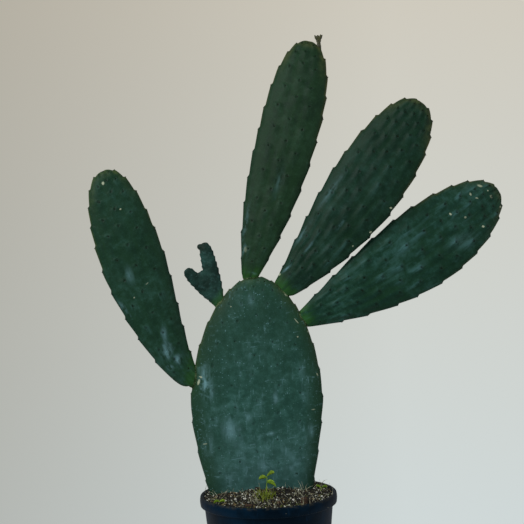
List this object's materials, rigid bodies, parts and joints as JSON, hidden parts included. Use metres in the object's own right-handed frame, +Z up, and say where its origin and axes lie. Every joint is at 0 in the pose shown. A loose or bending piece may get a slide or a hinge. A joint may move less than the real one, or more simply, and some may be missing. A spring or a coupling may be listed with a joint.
{
  "type": "potted paddle cactus",
  "caption": "Flat-padded cactus with long pads fanning out from the edge of a broad oval pad, rooted in gritty mix in a round plastic nursery pot.",
  "frame": {"origin": "centre of the pot's flat underside", "axes": "+Z up along the pot, the broad faces of the pads and the front face -Y, +X to the right seen from the front"},
  "size_m": [0.4975, 0.1648, 0.7125],
  "materials": {
    "pot_plastic": "dark navy, faint sheen",
    "soil_brown": "matte, gritty",
    "main_pad_skin": "waxy, grey-green bloom",
    "top_pad_skin": "waxy green",
    "upper_right_pad_skin": "waxy green",
    "lower_right_pad_skin": "waxy green",
    "left_pad_skin": "waxy green",
    "forked_pad_skin": "waxy green",
    "bud_skin": "matte olive",
    "seedling_green": "soft green",
    "bark_brown": "matte",
    "perlite_white": "matte"
  },
  "bodies": {
    "root": {"nursery_pot": "pot_plastic", "potting_mix": "soil_brown", "main_pad": "main_pad_skin", "top_pad": "top_pad_skin", "upper_right_pad": "upper_right_pad_skin", "lower_right_pad": "lower_right_pad_skin", "left_pad": "left_pad_skin", "forked_pad": "forked_pad_skin", "tip_bud": "bud_skin", "seedling_centre": "seedling_green", "seedling_left": "seedling_green", "seedling_right": "seedling_green", "bark_chip_1": "bark_brown", "bark_chip_2": "bark_brown", "bark_chip_3": "bark_brown", "perlite_grain_1": "perlite_white", "perlite_grain_2": "perlite_white", "perlite_grain_3": "perlite_white", "perlite_grain_4": "perlite_white", "perlite_grain_5": "perlite_white", "perlite_grain_6": "perlite_white"}
  },
  "joints": []
}
